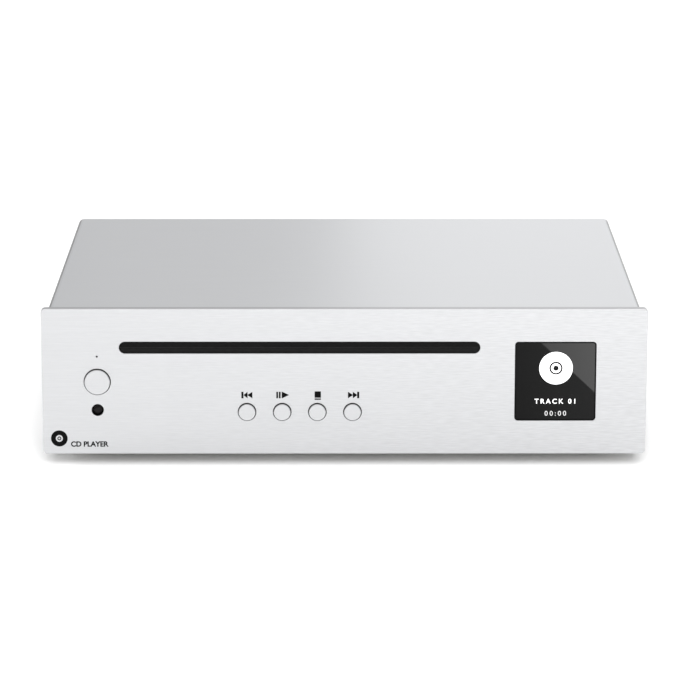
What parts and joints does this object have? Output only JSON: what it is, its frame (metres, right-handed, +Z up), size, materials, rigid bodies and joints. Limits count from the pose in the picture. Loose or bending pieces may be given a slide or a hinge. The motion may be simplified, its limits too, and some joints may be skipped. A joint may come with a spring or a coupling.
{
  "type": "cd player",
  "caption": "Compact slot-loading disc player with a thick brushed front panel, square display window, push buttons and rear audio sockets.",
  "frame": {"origin": "centre of the bounding box's footprint, on the surface the feet stand on", "axes": "+X to the right of somebody facing the front panel, +Y from the front panel to the rear sockets, +Z up"},
  "size_m": [0.206, 0.1658, 0.055],
  "materials": {
    "panel_aluminium": "brushed, satin anodised",
    "cover_steel": "satin silver coat",
    "rear_aluminium": "brushed, satin anodised",
    "pan_steel": "zinc plated sheet",
    "plated_steel": "bright plated",
    "black_rubber": "matt",
    "black_glass": "polished, opaque black",
    "dark_lens": "deep red-black, polished",
    "clear_lens": "coated, clear",
    "black_plastic": "moulded",
    "lamp_plastic": "clear cast",
    "white_plastic": "moulded",
    "circuit_board": "solder mask",
    "capacitor_can": "sleeved can",
    "plated_brass": "gold plated",
    "black_felt": "felt"
  },
  "bodies": {
    "chassis": {"base_chassis": "pan_steel", "board_screws": "plated_steel", "board_spacers": "plated_steel", "capacitors": "capacitor_can", "clamp_pin": "plated_steel", "coax_output_socket": "plated_brass", "cover_screws": "plated_steel", "display_module": "black_plastic", "display_window": "black_glass", "drive_base": "pan_steel", "drive_dampers": "black_rubber", "drive_lid": "pan_steel", "drive_posts": "plated_steel", "drive_ribbon": "white_plastic", "drive_screws": "plated_steel", "dust_felts": "black_felt", "foot_front_left": "black_rubber", "foot_front_right": "black_rubber", "foot_rear_left": "black_rubber", "foot_rear_right": "black_rubber", "front_board": "circuit_board", "front_panel": "panel_aluminium", "front_panel_screws": "plated_steel", "front_ribbon": "white_plastic", "guide_rods": "plated_steel", "ir_lens": "dark_lens", "ir_receiver": "black_plastic", "left_output_socket": "plated_brass", "loading_motor": "plated_steel", "main_board": "circuit_board", "main_board_chips": "black_plastic", "optical_socket": "black_plastic", "power_inlet": "black_plastic", "rear_panel": "rear_aluminium", "rear_panel_screws": "plated_steel", "right_output_socket": "plated_brass", "sled_motor": "plated_steel", "spindle_motor": "plated_steel", "standby_lamp": "lamp_plastic", "tact_switches": "black_plastic", "top_cover": "cover_steel", "upper_guide": "black_plastic"},
    "power_key": {"power_button": "panel_aluminium"},
    "previous_key": {"previous_button": "panel_aluminium"},
    "play_pause_key": {"play_pause_button": "panel_aluminium"},
    "stop_eject_key": {"stop_eject_button": "panel_aluminium"},
    "next_key": {"next_button": "panel_aluminium"},
    "loading_roller": {"roller_sleeve": "black_rubber", "roller_shaft": "plated_steel", "roller_gear": "white_plastic"},
    "idler": {"idler_gear": "white_plastic"},
    "pinion": {"motor_pinion": "white_plastic"},
    "spindle": {"turntable": "black_plastic", "spindle_shaft": "plated_steel"},
    "clamp": {"clamp_arm": "pan_steel"},
    "puck": {"clamp_puck": "black_plastic"},
    "pickup": {"pickup_sled": "black_plastic", "pickup_lens": "clear_lens"},
    "screw": {"lead_screw": "plated_steel"},
    "flap": {"optical_flap": "black_plastic"}
  },
  "joints": [
    {"name": "power_press", "type": "slide", "parent": "chassis", "child": "power_key", "axis": [0, 1, 0], "range_m": [0, 0.0006], "stiffness_N_per_m": 800, "springref_m": -0.0005},
    {"name": "previous_press", "type": "slide", "parent": "chassis", "child": "previous_key", "axis": [0, 1, 0], "range_m": [0, 0.0005], "stiffness_N_per_m": 800, "springref_m": -0.0005},
    {"name": "play_pause_press", "type": "slide", "parent": "chassis", "child": "play_pause_key", "axis": [0, 1, 0], "range_m": [0, 0.0005], "stiffness_N_per_m": 800, "springref_m": -0.0005},
    {"name": "stop_eject_press", "type": "slide", "parent": "chassis", "child": "stop_eject_key", "axis": [0, 1, 0], "range_m": [0, 0.0005], "stiffness_N_per_m": 800, "springref_m": -0.0005},
    {"name": "next_press", "type": "slide", "parent": "chassis", "child": "next_key", "axis": [0, 1, 0], "range_m": [0, 0.0005], "stiffness_N_per_m": 800, "springref_m": -0.0005},
    {"name": "roller_spin", "type": "hinge", "parent": "chassis", "child": "loading_roller", "pos_m": [-0.0152, -0.066, 0.0368], "axis": [1, 0, 0], "continuous": true},
    {"name": "idler_spin", "type": "hinge", "parent": "chassis", "child": "idler", "pos_m": [-0.077, -0.05518, 0.03479], "axis": [1, 0, 0], "continuous": true},
    {"name": "pinion_spin", "type": "hinge", "parent": "chassis", "child": "pinion", "pos_m": [-0.077, -0.04721, 0.0342], "axis": [1, 0, 0], "continuous": true},
    {"name": "spindle_spin", "type": "hinge", "parent": "chassis", "child": "spindle", "pos_m": [-0.0152, -0.01, 0.04], "axis": [0, 0, 1], "continuous": true},
    {"name": "clamp_tilt", "type": "hinge", "parent": "chassis", "child": "clamp", "pos_m": [-0.0152, 0.054, 0.0501], "axis": [1, 0, 0], "range_deg": [0, 2], "stiffness_Nm_per_rad": 0.3, "springref_deg": -2.86},
    {"name": "puck_spin", "type": "hinge", "parent": "clamp", "child": "puck", "pos_m": [-0.0152, -0.01, 0.048], "axis": [0, 0, 1], "continuous": true},
    {"name": "sled_slide", "type": "slide", "parent": "chassis", "child": "pickup", "axis": [0, 1, 0], "range_m": [0, 0.035]},
    {"name": "lead_screw_spin", "type": "hinge", "parent": "chassis", "child": "screw", "pos_m": [0.0138, 0.03, 0.033], "axis": [0, -1, 0], "range_deg": [-1, 4201]},
    {"name": "flap_swing", "type": "hinge", "parent": "chassis", "child": "flap", "pos_m": [0.002, 0.07308, 0.02395], "axis": [-1, 0, 0], "range_deg": [0, 85], "stiffness_Nm_per_rad": 0.0001, "springref_deg": -17.19}
  ],
  "couplings": [
    {"joint": "idler_spin", "follows": "roller_spin", "ratio": -1.2},
    {"joint": "pinion_spin", "follows": "roller_spin", "ratio": 2},
    {"joint": "lead_screw_spin", "follows": "sled_slide", "rad_per_m": 2094.4}
  ]
}
